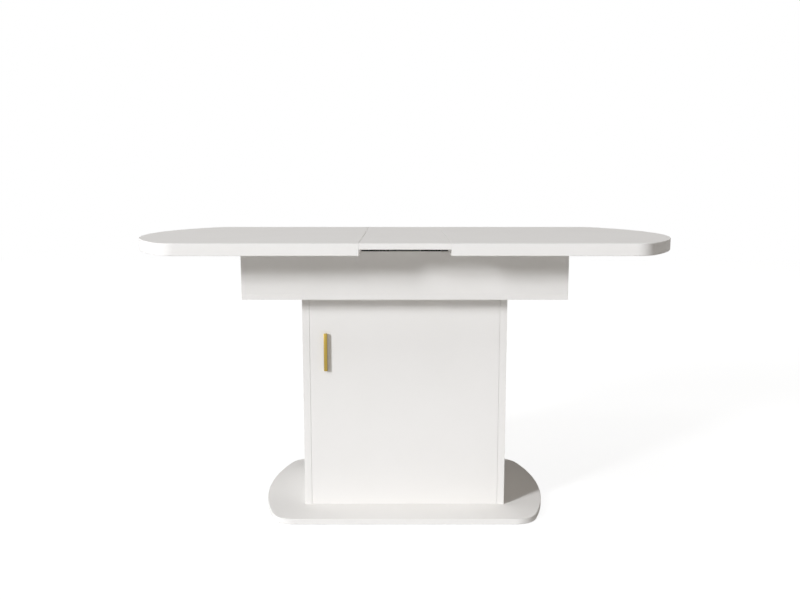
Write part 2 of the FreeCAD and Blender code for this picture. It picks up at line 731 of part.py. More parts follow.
def door():
    body = doc.addObject("PartDesign::Body", "door_body")
    blank = body.newObject("PartDesign::AdditiveBox", "door_blank")
    bind(blank, Length="door_width", Width="board", Height="door_top - door_z")
    round_edges(body, blank, "arris")
    bind(body, x="door_left", y="door_front", z="door_z")

    plate_x = "pivot_x + pivot_inset - pivot_plate_edge - pivot_plate_length"
    plate_y = "door_front + pivot_plate_edge"
    cutters, plates = [], []
    for word, level, away in (("lower", "door_z", -1), ("upper", "door_top", 1)):
        z = level if away < 0 else "%s - pivot_plate_thickness" % level
        plate = box(word + "_plate", plate_x, plate_y, z, "pivot_plate_length",
                    "pivot_plate_width", "pivot_plate_thickness")
        pin = rod(word + "_pin", "pivot_x", "pivot_y", level, "pivot_radius",
                  "door_end_gap + pivot_length", "z" if away > 0 else "-z")
        plates.append(fuse(word + "_pivot", [plate, pin]))
        recess_z = "%s - overrun" % z if away < 0 else z
        cutters.append(box(word + "_recess", plate_x, plate_y, recess_z, "pivot_plate_length",
                           "pivot_plate_width", "pivot_plate_thickness + overrun"))
    node("door_pivots", group("pivots", plates))

    grip_x = "door_left + handle_edge_distance - handle_width / 2"
    grip_z = "door_top - handle_top_distance - handle_length"
    grip = doc.addObject("PartDesign::Body", "grip_body")
    bar = grip.newObject("PartDesign::AdditiveBox", "grip_bar")
    bind(bar, Length="handle_width", Width="handle_thickness + handle_stand",
         Height="handle_length")
    gap = grip.newObject("PartDesign::SubtractiveBox", "grip_gap")
    bind(gap, Length="handle_width + 2 * overrun", Width="handle_stand + overrun",
         Height="handle_length - 2 * handle_post", x="-overrun", y="handle_thickness",
         z="handle_post")
    stand = size("handle_thickness") + size("handle_stand")

    def front_edge(edge):
        return edge.BoundBox.YMax < NEAR_SHARE * stand
    round_edges(grip, gap, "handle_round", front_edge)
    bind(grip, x=grip_x, y="door_front - handle_thickness - handle_stand", z=grip_z)
    screws, tapped = [], []
    for z in ("%s + handle_post / 2" % grip_z, "%s + handle_length - handle_post / 2" % grip_z):
        x = "door_left + handle_edge_distance"
        head = rod("handle_head", x, "door_back", z, "handle_head_radius",
                   "handle_head_height", "y")
        shank = rod("handle_shank", x, "door_back + handle_head_height", z,
                    "handle_screw_radius", "board + handle_head_height + handle_screw_grip", "-y")
        screws.append(fuse("handle_screw", [head, shank]))
        hole = rod("handle_hole", x, "door_back + overrun", z, "handle_screw_radius + hole_play",
                   "board + handle_screw_grip + overrun + hole_play", "-y")
        cutters.append(hole)
        tapped.append(hole)
    node("door_handle", cut("grip_tapped", grip, tapped))
    node("door_screws", group("handle_screws", screws))
    node("door_panel", cut("door_drilled", body, cutters))
    node("strike_plate", box("strike", "door_left + magnet_inset + magnet_length / 2"
                             " - strike_length / 2", "door_back", "ceiling - strike_width",
                             "strike_length", "strike_thickness", "strike_width"))

    bushes = []
    for word, level, way in (("lower", "base_top - bush_length", "door_end_gap"),
                             ("upper", "door_top + glide_play", "door_end_gap - glide_play")):
        outer = rod(word + "_bush_blank", "pivot_x", "pivot_y", level, "bush_radius",
                    "bush_length + %s" % way)
        bore = rod(word + "_bush_bore", "pivot_x", "pivot_y", "%s - overrun" % level,
                   "pivot_radius + pivot_play", "bush_length + door_end_gap + 2 * overrun")
        bushes.append(cut(word + "_bush", outer, [bore]))
    node("door_pivot_bushes", group("bushes", bushes))


door()


# Base

def mirrored_base(name, inset=None):
    """The base's outline: a straight stretch with two round ends."""
    body = doc.addObject("PartDesign::Body", name)
    drawn = round_ended(body, name + "_outline", BASE_OUTLINE, inset)
    feature = pad(body, drawn, "board")
    doc.recompute()
    mirror = body.newObject("PartDesign::Mirrored", name + "_mirror")
    mirror.Originals = [feature]
    mirror.MirrorPlane = (plane(body, "YZ_Plane"), [""])
    mirror.Refine = True
    body.Tip = mirror
    bind(body, z="base_glide_height")
    return body, mirror


def base():
    body, feature = mirrored_base("base_inner", "edge_band")
    holes = []
    for x, y in cabinet_screw_places():
        holes += wood_screw_hole("base_hole", x, y, "base_glide_height")
    holes.append(rod("base_bush_hole", "pivot_x", "pivot_y", "base_top - bush_length - hole_play",
                     "bush_radius + hole_play", "bush_length + overrun"))
    node("base_plate", cut("base_drilled", body, holes))

    outer, feature = mirrored_base("base_outer")
    round_edges(outer, feature, "edge_round",
                ring_edges(size("edge_band"), size("base_depth") / 2))
    middle, feature = mirrored_base("base_middle", "edge_band")
    node("base_edge_band", cut("base_ring", outer, [middle]))

    glides = []
    for side in (-1, 1):
        for face in (-1, 1):
            for share in BASE_GLIDE_SHARES:
                glides.append(rod("base_glide", "%d * %s * base_straight" % (side, share),
                                  "%d * (base_depth / 2 - base_glide_inset)" % face,
                                  "0", "base_glide_radius", "base_glide_height"))
    node("base_glides", group("glides", glides))


base()
doc.recompute()

faults = [thing.Label for thing in doc.Objects
          if "Invalid" in thing.State or "Error" in thing.State]
faults += [label for label, thing in nodes.items()
           if thing.Shape.isNull() or not thing.Shape.isValid()]
if faults:
    raise SystemExit("failed: " + ", ".join(faults))

os.makedirs("parts", exist_ok=True)
for label, thing in nodes.items():
    thing.Shape.exportStep("parts/%s.step" % label)
print(len(nodes), "nodes,", sum(len(thing.Shape.Solids) for thing in nodes.values()), "solids")
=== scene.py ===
import bmesh
import bpy
import json
import math
from mathutils import Matrix, Vector


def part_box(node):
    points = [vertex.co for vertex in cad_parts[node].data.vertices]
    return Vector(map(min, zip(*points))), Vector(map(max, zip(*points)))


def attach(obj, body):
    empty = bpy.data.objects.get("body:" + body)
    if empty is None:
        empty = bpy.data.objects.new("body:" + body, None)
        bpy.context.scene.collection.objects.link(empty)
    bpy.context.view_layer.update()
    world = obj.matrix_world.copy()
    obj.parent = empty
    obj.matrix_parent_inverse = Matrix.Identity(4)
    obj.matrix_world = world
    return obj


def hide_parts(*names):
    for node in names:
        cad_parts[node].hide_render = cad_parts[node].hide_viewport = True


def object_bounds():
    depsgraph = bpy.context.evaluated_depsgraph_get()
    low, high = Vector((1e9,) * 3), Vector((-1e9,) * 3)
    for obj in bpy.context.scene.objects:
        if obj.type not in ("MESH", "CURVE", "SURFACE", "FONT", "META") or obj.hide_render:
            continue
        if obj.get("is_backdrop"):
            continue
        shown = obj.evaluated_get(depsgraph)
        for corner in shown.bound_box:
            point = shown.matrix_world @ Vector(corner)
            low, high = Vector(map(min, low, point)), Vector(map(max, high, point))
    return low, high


# Extending dining table: white foil-faced boards, edge bands, brass bar handle.
# The frame, the studio and the camera's place are in metres. Marks on surfaces and sizes of
# fittings are in millimetres, and a pair of mark sizes is a length and a width.

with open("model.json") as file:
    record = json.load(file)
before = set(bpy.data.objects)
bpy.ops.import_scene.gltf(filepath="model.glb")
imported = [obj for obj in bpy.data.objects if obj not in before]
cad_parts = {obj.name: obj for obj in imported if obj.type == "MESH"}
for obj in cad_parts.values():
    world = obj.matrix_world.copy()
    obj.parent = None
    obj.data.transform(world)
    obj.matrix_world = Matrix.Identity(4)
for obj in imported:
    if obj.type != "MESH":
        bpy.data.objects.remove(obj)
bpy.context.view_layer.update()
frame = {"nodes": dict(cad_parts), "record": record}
print("frame loaded:", len(frame["nodes"]), "nodes")

mm = 0.001


# Node helpers

def linear(hexColour):
    # sRGB hex to the linear colour that shaders take
    channels = [int(hexColour[i:i + 2], 16) / 255 for i in (1, 3, 5)]
    return [c / 12.92 if c <= 0.04045 else ((c + 0.055) / 1.055) ** 2.4 for c in channels] + [1]


def addNode(tree, kind, settings, links=None):
    # a key is an input's name or number where the node has one, else a setting of the node
    node = tree.nodes.new("ShaderNode" + kind)
    for key, value in settings.items():
        if isinstance(key, int) or key in node.inputs:
            node.inputs[key].default_value = value
        else:
            setattr(node, key, value)
    for key, source in (links or {}).items():
        tree.links.new(source, node.inputs[key])
    return node


def newMaterial(name):
    material = bpy.data.materials.new(name)
    material.use_nodes = True
    tree = material.node_tree
    tree.nodes.clear()
    place = addNode(tree, "TexCoord", {})
    return material, tree, place.outputs["Object"]


def finishMaterial(tree, settings, links):
    shader = addNode(tree, "BsdfPrincipled", settings, links)
    addNode(tree, "OutputMaterial", {}, {"Surface": shader.outputs[0]})


def perMetre(size):
    # a pattern's scale from the real size of one of its marks
    return 1 / (size * mm)


# White melamine foil on particle board: pressed flat, satin, so it takes soft broad light
# and shows a faint pored grain only from close by. The real pores are under 1 mm, and are drawn
# coarser, so that they show.

foil = {
    "light": "#F1EFEC", "dark": "#EEECE8", "cloud": 160, "pore": 2.5, "relief": 0.012,
    "smooth": 0.72, "rough": 0.8, "smudge": 45, "ior": 1.5, "specular": 0.15,
}


def foilBoard(name):
    material, tree, place = newMaterial(name)
    cloud = addNode(tree, "TexNoise", {"Scale": perMetre(foil["cloud"]), "Detail": 2},
                    {"Vector": place})
    colour = addNode(tree, "Mix", {"data_type": "RGBA", 6: linear(foil["light"]),
                                   7: linear(foil["dark"])}, {0: cloud.outputs[0]})
    smudge = addNode(tree, "TexNoise", {"Scale": perMetre(foil["smudge"]), "Detail": 4},
                     {"Vector": place})
    rough = addNode(tree, "MapRange", {"To Min": foil["smooth"], "To Max": foil["rough"]},
                    {"Value": smudge.outputs[0]})
    pores = addNode(tree, "TexNoise", {"Scale": perMetre(foil["pore"]), "Detail": 3},
                    {"Vector": place})
    relief = addNode(tree, "Bump", {"Strength": 1, "Distance": foil["relief"] * mm},
                     {"Height": pores.outputs[0]})
    finishMaterial(tree, {"IOR": foil["ior"], "Specular IOR Level": foil["specular"]},
                   {"Base Color": colour.outputs[2], "Roughness": rough.outputs[0],
                    "Normal": relief.outputs[0]})
    return material


# White ABS edge band: extruded and scraped flush, a touch smoother than the foil

band = {
    "light": "#F2F0ED", "dark": "#EFEDE9", "cloud": 90, "line": (40, 1.2), "relief": 0.008,
    "smooth": 0.62, "rough": 0.72, "ior": 1.5, "specular": 0.2,
}


def edgeBand(name):
    material, tree, place = newMaterial(name)
    cloud = addNode(tree, "TexNoise", {"Scale": perMetre(band["cloud"]), "Detail": 2},
                    {"Vector": place})
    colour = addNode(tree, "Mix", {"data_type": "RGBA", 6: linear(band["light"]),
                                   7: linear(band["dark"])}, {0: cloud.outputs[0]})
    # scraper lines run along the band, so they are long in plan and fine in height
    length, height = band["line"]
    stretched = addNode(tree, "Mapping",
                        {"Scale": (perMetre(length), perMetre(length), perMetre(height))},
                        {"Vector": place})
    lines = addNode(tree, "TexNoise", {"Scale": 1, "Detail": 3},
                    {"Vector": stretched.outputs[0]})
    rough = addNode(tree, "MapRange", {"To Min": band["smooth"], "To Max": band["rough"]},
                    {"Value": lines.outputs[0]})
    relief = addNode(tree, "Bump", {"Strength": 1, "Distance": band["relief"] * mm},
                     {"Height": lines.outputs[0]})
    finishMaterial(tree, {"IOR": band["ior"], "Specular IOR Level": band["specular"]},
                   {"Base Color": colour.outputs[2], "Roughness": rough.outputs[0],
                    "Normal": relief.outputs[0]})
    return material


# Planed beech: pale, close-grained, with short dark ray flecks along the grain

beech = {
    "light": "#DDBE95", "dark": "#C99F6E", "fleck": "#A87848", "grain": (180, 3.5),
    "fleckSize": (7, 0.9), "fleckShare": 0.68, "fleckBlur": 0.04, "fleckStrength": 0.7,
    "relief": 0.03, "roughness": 0.6, "ior": 1.5,
}


def planedBeech(name, along):
    material, tree, place = newMaterial(name)

    def grainSpace(length, width):
        scale = [perMetre(width)] * 3
        scale[along] = perMetre(length)
        return addNode(tree, "Mapping", {"Scale": scale}, {"Vector": place}).outputs[0]

    grain = addNode(tree, "TexNoise", {"Scale": 1, "Detail": 5, "Distortion": 0.6},
                    {"Vector": grainSpace(*beech["grain"])})
    wood = addNode(tree, "Mix", {"data_type": "RGBA", 6: linear(beech["light"]),
                                 7: linear(beech["dark"])}, {0: grain.outputs[0]})
    spots = addNode(tree, "TexNoise", {"Scale": 1, "Detail": 1},
                    {"Vector": grainSpace(*beech["fleckSize"])})
    share = beech["fleckShare"]
    flecks = addNode(tree, "MapRange",
                     {"From Min": share, "From Max": share + beech["fleckBlur"],
                      "To Max": beech["fleckStrength"]}, {"Value": spots.outputs[0]})
    colour = addNode(tree, "Mix", {"data_type": "RGBA", 7: linear(beech["fleck"])},
                     {0: flecks.outputs[0], 6: wood.outputs[2]})
    relief = addNode(tree, "Bump", {"Strength": 1, "Distance": beech["relief"] * mm},
                     {"Height": grain.outputs[0]})
    finishMaterial(tree, {"IOR": beech["ior"], "Roughness": beech["roughness"]},
                   {"Base Color": colour.outputs[2], "Normal": relief.outputs[0]})
    return material


# Cold-rolled steel with bright zinc plate: cool grey, with faint clouds and rolling lines. The
# real lines are finer than these, which are drawn to show.

zinc = {
    "light": "#D3D5D7", "dark": "#BABEC2", "cloud": 14, "line": (60, 0.8), "relief": 0.006,
    "smooth": 0.24, "rough": 0.38,
}


def zincPlate(name):
    material, tree, place = newMaterial(name)
    cloud = addNode(tree, "TexNoise", {"Scale": perMetre(zinc["cloud"]), "Detail": 3},
                    {"Vector": place})
    colour = addNode(tree, "Mix", {"data_type": "RGBA", 6: linear(zinc["light"]),
                                   7: linear(zinc["dark"])}, {0: cloud.outputs[0]})
    length, width = zinc["line"]
    stretched = addNode(tree, "Mapping",
                        {"Scale": (perMetre(length), perMetre(width), perMetre(width))},
                        {"Vector": place})
    lines = addNode(tree, "TexNoise", {"Scale": 1, "Detail": 3},
                    {"Vector": stretched.outputs[0]})
    rough = addNode(tree, "MapRange", {"To Min": zinc["smooth"], "To Max": zinc["rough"]},
                    {"Value": cloud.outputs[0]})
    relief = addNode(tree, "Bump", {"Strength": 1, "Distance": zinc["relief"] * mm},
                     {"Height": lines.outputs[0]})
    finishMaterial(tree, {"Metallic": 1},
                   {"Base Color": colour.outputs[2], "Roughness": rough.outputs[0],
                    "Normal": relief.outputs[0]})
    return material


# Satin brass: cast bar brushed along its length and lacquered, so its gleam spreads sideways.
# The real brush lines are finer than these, which are drawn to show.

brass = {
    "light": "#B89F56", "dark": "#9F8740", "line": (22, 0.5), "cloud": 18, "relief": 0.01,
    "smooth": 0.28, "rough": 0.42,
}


def satinBrass(name):
    material, tree, place = newMaterial(name)
    length, width = brass["line"]
    stretched = addNode(tree, "Mapping",
                        {"Scale": (perMetre(width), perMetre(width), perMetre(length))},
                        {"Vector": place})
    lines = addNode(tree, "TexNoise", {"Scale": 1, "Detail": 4},
                    {"Vector": stretched.outputs[0]})
    colour = addNode(tree, "Mix", {"data_type": "RGBA", 6: linear(brass["dark"]),
                                   7: linear(brass["light"])}, {0: lines.outputs[0]})
    cloud = addNode(tree, "TexNoise", {"Scale": perMetre(brass["cloud"]), "Detail": 2},
                    {"Vector": place})
    rough = addNode(tree, "MapRange", {"To Min": brass["smooth"], "To Max": brass["rough"]},
                    {"Value": cloud.outputs[0]})
    relief = addNode(tree, "Bump", {"Strength": 1, "Distance": brass["relief"] * mm},
                     {"Height": lines.outputs[0]})
    finishMaterial(tree, {"Metallic": 1},
                   {"Base Color": colour.outputs[2], "Roughness": rough.outputs[0],
                    "Normal": relief.outputs[0]})
    return material


# Moulded nylon: milky white from a spark-eroded mould, with a soft waxy sheen

nylon = {
    "light": "#EFEDE6", "dark": "#E6E3DA", "grit": 0.9, "relief": 0.015, "roughness": 0.42,
    "ior": 1.53,
}


def mouldedNylon(name):
    material, tree, place = newMaterial(name)
    grit = addNode(tree, "TexNoise", {"Scale": perMetre(nylon["grit"]), "Detail": 2},
                   {"Vector": place})
    colour = addNode(tree, "Mix", {"data_type": "RGBA", 6: linear(nylon["light"]),
                                   7: linear(nylon["dark"])}, {0: grit.outputs[0]})
    relief = addNode(tree, "Bump", {"Strength": 1, "Distance": nylon["relief"] * mm},
                     {"Height": grit.outputs[0]})
    finishMaterial(tree, {"IOR": nylon["ior"], "Roughness": nylon["roughness"]},
                   {"Base Color": colour.outputs[2], "Normal": relief.outputs[0]})
    return material


# Moulded black rubber: dull, with a fine grain and a little bloom

rubber = {
    "light": "#34322F", "dark": "#262422", "bloom": 12, "grit": 0.7, "relief": 0.03,
    "roughness": 0.8, "ior": 1.52, "specular": 0.25,
}


def mouldedRubber(name):
    material, tree, place = newMaterial(name)
    bloom = addNode(tree, "TexNoise", {"Scale": perMetre(rubber["bloom"]), "Detail": 3},
                    {"Vector": place})
    colour = addNode(tree, "Mix", {"data_type": "RGBA", 6: linear(rubber["light"]),
                                   7: linear(rubber["dark"])}, {0: bloom.outputs[0]})
    grit = addNode(tree, "TexNoise", {"Scale": perMetre(rubber["grit"]), "Detail": 2},
                   {"Vector": place})
    relief = addNode(tree, "Bump", {"Strength": 1, "Distance": rubber["relief"] * mm},
                     {"Height": grit.outputs[0]})
    finishMaterial(tree, {"IOR": rubber["ior"], "Roughness": rubber["roughness"],
                          "Specular IOR Level": rubber["specular"]},
                   {"Base Color": colour.outputs[2], "Normal": relief.outputs[0]})
    return material


# Pressed wool felt: grey, matted fibres that scatter light at grazing angles

felt = {
    "light": "#A5A29C", "dark": "#77746F", "fibre": 1.1, "clump": 5, "contrast": (0.1, 0.4),
    "relief": 0.25, "roughness": 0.95, "sheen": 0.3,
}


def pressedFelt(name):
    material, tree, place = newMaterial(name)
    fibres = addNode(tree, "TexNoise", {"Scale": perMetre(felt["fibre"]), "Detail": 6,
                                        "Distortion": 1.5}, {"Vector": place})
    clumps = addNode(tree, "TexNoise", {"Scale": perMetre(felt["clump"]), "Detail": 3},
                     {"Vector": place})
    blend = addNode(tree, "Math", {"operation": "MULTIPLY"},
                    {0: fibres.outputs[0], 1: clumps.outputs[0]})
    darkest, lightest = felt["contrast"]
    spread = addNode(tree, "MapRange", {"From Min": darkest, "From Max": lightest},
                     {"Value": blend.outputs[0]})
    colour = addNode(tree, "Mix", {"data_type": "RGBA", 6: linear(felt["dark"]),
                                   7: linear(felt["light"])}, {0: spread.outputs[0]})
    relief = addNode(tree, "Bump", {"Strength": 1, "Distance": felt["relief"] * mm},
                     {"Height": fibres.outputs[0]})
    finishMaterial(tree, {"Roughness": felt["roughness"], "Sheen Weight": felt["sheen"]},
                   {"Base Color": colour.outputs[2], "Normal": relief.outputs[0]})
    return material


finishes = {
    "white_board": foilBoard("foilBoard"),
    "white_edging": edgeBand("edgeBand"),
    "beech": planedBeech("planedBeech", 0),
    "zinc_steel": zincPlate("zincPlate"),
    "nylon": mouldedNylon("mouldedNylon"),
    "black_rubber": mouldedRubber("mouldedRubber"),
    "grey_felt": pressedFelt("pressedFelt"),
    "brass": satinBrass("satinBrass"),
}
standingGrain = planedBeech("standingBeech", 2)
standingPieces = ("left_runner_dowels", "right_runner_dowels", "corner_blocks")
slotOf = {part["node"]: part["material_slot"] for part in frame["record"]["subparts"]}

for node, slotName in slotOf.items():
    finish = standingGrain if node in standingPieces else finishes[slotName]
    for slot in frame["nodes"][node].material_slots:
        slot.material = finish
print("finishes:", len(finishes))


# Fittings: where the CAD has a plain shape, the shape of the real fitting stands in its place

weld = 1e-6  # points closer than this are one point
sharpAngle = 32  # faces that meet at more degrees than this have a crisp edge
cornerSteps, bendSteps = 5, 2
up, forward = Vector((0, 0, 1)), Vector((0, -1, 0))
bodyOf = {node: body for body, members in frame["record"]["behaviour"]["bodies"].items()
          for node in members}


def solidBoxes(node):
    # lowest and highest corner of every separate solid of a CAD node
    welded = bmesh.new()
    welded.from_mesh(frame["nodes"][node].data)
    bmesh.ops.remove_doubles(welded, verts=welded.verts, dist=weld)
    waiting = set(welded.verts)
    boxes = []
    while waiting:
        solid = [waiting.pop()]
        for vert in solid:
            for edge in vert.link_edges:
                other = edge.other_vert(vert)
                if other in waiting:
                    waiting.discard(other)
                    solid.append(other)
        boxes.append([Vector([pick(vert.co[i] for vert in solid) for i in range(3)])
                      for pick in (min, max)])
    welded.free()
    return sorted(boxes, key=lambda box: tuple(box[0]))


def meshOf(bm, name):
    mesh = bpy.data.meshes.new(name)
    bm.to_mesh(mesh)
    bm.free()
    return mesh


def finishPiece(bm, name, like, slot=None, stands=True):
    # the piece rides with the CAD node that it is like, takes that node's finish unless it has
    # a slot of its own, and stands in the node's place unless it only goes with it
    mesh = meshOf(bm, name)
    mesh.shade_smooth()
    mesh.set_sharp_from_angle(angle=math.radians(sharpAngle))
    slot = slot or slotOf[like]
    mesh.materials.append(finishes[slot])
    piece = bpy.data.objects.new(name, mesh)
    bpy.context.scene.collection.objects.link(piece)
    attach(piece, bodyOf[like])
    if stands:
        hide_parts(like)


def aimed(place, ahead):
    # takes a shape that points along Z to a place, pointing ahead
    return Matrix.Translation(place) @ ahead.to_track_quat("Z", "X").to_matrix().to_4x4()


def stamp(bm, shape, matrix):
    earlier = set(bm.verts)
    bm.from_mesh(shape)
    bmesh.ops.transform(bm, matrix=matrix, verts=[v for v in bm.verts if v not in earlier])


def roundEdges(bm, edges, radius, segments):
    bmesh.ops.bevel(bm, geom=edges, offset=radius, segments=segments, profile=0.5,
                    affect="EDGES", material=-1)


def softBlock(bm, low, high, bend, corner=0, through=2):
    # a box between two points: corner, where given, rounds the four edges that run along axis
    # through, and bend softens the rest
    def runsThrough(edge):
        return abs((edge.verts[0].co - edge.verts[1].co)[through]) > weld

    earlier = set(bm.edges)
    place = Matrix.LocRotScale((low + high) / 2, None, high - low)
    bmesh.ops.create_cube(bm, size=1, matrix=place)
    edges = [edge for edge in bm.edges if edge not in earlier]
    if corner:
        roundEdges(bm, [edge for edge in edges if runsThrough(edge)], corner, cornerSteps)
        edges = [edge for edge in bm.edges if edge not in earlier and not runsThrough(edge)]
    roundEdges(bm, edges, bend, bendSteps)


def turned(bm, profile, steps):
    # a line of (radius, height) points turned about the Z axis
    verts = [bm.verts.new((radius, 0, height)) for radius, height in profile]
    edges = [bm.edges.new(pair) for pair in zip(verts, verts[1:])]
    bmesh.ops.spin(bm, geom=verts + edges, cent=(0, 0, 0), axis=(0, 0, 1),
                   angle=2 * math.pi, steps=steps, use_merge=True)
    bmesh.ops.remove_doubles(bm, verts=bm.verts, dist=weld)
    bmesh.ops.recalc_face_normals(bm, faces=bm.faces)


# Screws: a cross recess in a countersunk or a domed head, with the middle of the head's face at
# the origin and the point up. The cross, its slots, the recess and the rim are shares of the
# head's radius, the point is a share of the shank's, and the dome's points are shares of the
# head's radius and depth.

screw = {
    "crossShare": 0.58, "slotShare": 0.13, "recessShare": 0.5, "taperShare": 0.62,
    "rimShare": 0.05, "domeFaceShare": 0.72, "domeShares": ((0.93, 0.35), (1, 0.75), (1, 1)),
    "pointShare": 1.6, "steps": 24, "turn": 2.4,
}


def makeScrew(head, shank, depth, length, domed=False):
    bm = bmesh.new()
    if domed:
        face = head * screw["domeFaceShare"]
        headSide = [(head * out, depth * down) for out, down in screw["domeShares"]]
    else:
        face = head * (1 - screw["rimShare"])
        headSide = [(head, head * screw["rimShare"])]
    # the face gets a ring round the cross and four cuts along the sides of its slots
    bmesh.ops.create_circle(bm, cap_ends=True, segments=screw["steps"], radius=face)
    reach = head * screw["crossShare"]
    half = head * screw["slotShare"]
    bmesh.ops.inset_region(bm, faces=list(bm.faces), thickness=face - reach,
                           use_boundary=True, use_even_offset=True)
    for normal in (Vector((1, 0, 0)), Vector((0, 1, 0))):
        for side in (-half, half):
            inner = [part for part in bm.faces if part.calc_center_median().length < reach]
            around = {part for cap in inner for part in (*cap.verts, *cap.edges)}
            bmesh.ops.bisect_plane(bm, geom=inner + list(around), dist=weld,
                                   plane_co=normal * side, plane_no=normal)
    # the cross between the cuts goes down and gets narrower
    middles = [(part, part.calc_center_median()) for part in bm.faces]
    cross = [part for part, middle in middles
             if middle.length < reach and min(abs(middle.x), abs(middle.y)) < half]
    sunk = bmesh.ops.extrude_face_region(bm, geom=cross)["geom"]
    bmesh.ops.delete(bm, geom=cross, context="FACES")
    bottom = [part for part in sunk if isinstance(part, bmesh.types.BMVert)]
    narrowed = Matrix.Diagonal((screw["taperShare"], screw["taperShare"], 1, 1))
    lowered = Matrix.Translation(up * head * screw["recessShare"])
    bmesh.ops.transform(bm, verts=bottom, matrix=lowered @ narrowed)
    shankSide = [(shank, depth), (shank, length - shank * screw["pointShare"]), (0, length)]
    turned(bm, [(face, 0)] + headSide + shankSide, screw["steps"])
    return meshOf(bm, "screwShape")


# The way that a screw of a row points, from the place of its middle

def upwards(middle):
    return up


def outwards(middle):
    return Vector((0, math.copysign(1, middle.y), 0))


def inwards(middle):
    return -outwards(middle)


# for each row the way of its screws, the radius of their shanks and the depth of their heads
screwRows = {
    "bottom_board_screws": (upwards, 2, 2.4), "base_screws": (upwards, 2, 2.4),
    "apron_screws": (upwards, 2, 2.4), "slide_outer_screws": (outwards, 1.5, 1.2),
    "left_slide_screws": (inwards, 1.5, 1.2), "right_slide_screws": (inwards, 1.5, 1.2),
}
for node, (way, shank, depth) in screwRows.items():
    row = bmesh.new()
    shape = None
    for index, (low, high) in enumerate(solidBoxes(node)):
        middle = (low + high) / 2
        ahead = way(middle)
        length = abs((high - low).dot(ahead))
        shape = shape or makeScrew((high.x - low.x) / 2, shank * mm, depth * mm, length)
        turn = Matrix.Rotation(screw["turn"] * index, 4, "Z")
        stamp(row, shape, aimed(middle - ahead * length / 2, ahead) @ turn)
    finishPiece(row, node + "_crossed", node)
print("screws made")


# Door handle: a cast bar with softened edges on two square posts, held by domed screws. A screw
# is given as the radius of its head, the radius of its shank and the depth of its head.

handle = {
    "bar": 4.5, "barBend": 1.4, "post": 9, "postInset": 0.4, "postRoot": 1, "postBend": 0.5,
    "screw": (4, 2, 2),
}

low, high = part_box("door_handle")
barBack = low.y + handle["bar"] * mm
grip = bmesh.new()
softBlock(grip, low, Vector((high.x, barBack, high.z)), handle["barBend"] * mm)
inset = handle["postInset"] * mm
for bottom in (low.z, high.z - handle["post"] * mm):
    top = bottom + handle["post"] * mm
    softBlock(grip, Vector((low.x + inset, barBack - handle["postRoot"] * mm, bottom + inset)),
              Vector((high.x - inset, high.y, top - inset)), handle["postBend"] * mm)
finishPiece(grip, "castHandle", "door_handle")

holders = bmesh.new()
for low, high in solidBoxes("door_screws"):
    middle = (low + high) / 2
    domed = makeScrew(*(size * mm for size in handle["screw"]), high.y - low.y, domed=True)
    stamp(holders, domed, aimed(Vector((middle.x, high.y, middle.z)), forward))
finishPiece(holders, "domedDoorScrews", "door_screws")
print("handle made")


# Magnetic catch: a nylon housing with two screwed ears and two steel pole plates, and the
# strike plate on the door. These screws have their length as a fourth value.

catch = {
    "ear": 3, "earCorner": 3, "earBack": 2, "body": 29, "bodyBack": 0.6, "bodyDrop": 0.4,
    "bend": 0.8, "pole": 1.4, "poleGap": 4.6, "poleLength": 24, "poleDepth": 8, "poleBend": 0.2,
    "screw": (2.8, 1.4, 1.4, 11), "screwInset": 5, "screwBack": 1,
}
strike = {"bend": 0.2, "corner": 2.5, "screw": (3, 1.5, 1.5, 11), "screwProud": 0.1}

low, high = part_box("magnet_catch")
middle = (low + high) / 2
earLow = Vector((low.x, low.y + catch["earBack"] * mm, high.z - catch["ear"] * mm))
halfBody = catch["body"] / 2 * mm
bodyLow = Vector((middle.x - halfBody, low.y + catch["bodyBack"] * mm, low.z))
bodyHigh = Vector((middle.x + halfBody, high.y, high.z - catch["bodyDrop"] * mm))
housing = bmesh.new()
softBlock(housing, earLow, high, catch["bend"] * mm, corner=catch["earCorner"] * mm)
softBlock(housing, bodyLow, bodyHigh, catch["bend"] * mm)
finishPiece(housing, "catchHousing", "magnet_catch")

poles = bmesh.new()
reach = Vector((catch["poleLength"], catch["poleDepth"], catch["pole"])) / 2 * mm
small = makeScrew(*(size * mm for size in catch["screw"]), domed=True)
headDepth = catch["screw"][2]
for side in (-1, 1):
    seat = Vector((middle.x, low.y + reach.y, middle.z + side * catch["poleGap"] / 2 * mm))
    softBlock(poles, seat - reach, seat + reach, catch["poleBend"] * mm)
    beside = Vector((middle.x + side * (middle.x - low.x - catch["screwInset"] * mm),
                     middle.y + catch["screwBack"] * mm,
                     high.z - (catch["ear"] + headDepth) * mm))
    stamp(poles, small, aimed(beside, up))
finishPiece(poles, "catchPoles", "magnet_catch", slot="zinc_steel", stands=False)

low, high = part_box("strike_plate")
middle = (low + high) / 2
plate = bmesh.new()
softBlock(plate, low, high, strike["bend"] * mm, corner=strike["corner"] * mm, through=1)
stamp(plate, makeScrew(*(size * mm for size in strike["screw"])),
      aimed(Vector((middle.x, high.y + strike["screwProud"] * mm, middle.z)), forward))
finishPiece(plate, "roundedStrike", "strike_plate")
print("catch made")


# Shelf pins: turned steel, chamfered where they enter the side and rounded under the shelf.
# Shares are of the pin's radius, and the shoulder lies between the round stretch and the end.

pin = {
    "faceShare": 0.7, "chamferShare": 0.3, "roundShare": 0.5, "shoulderShares": (0.8, 0.12),
    "steps": 24,
}

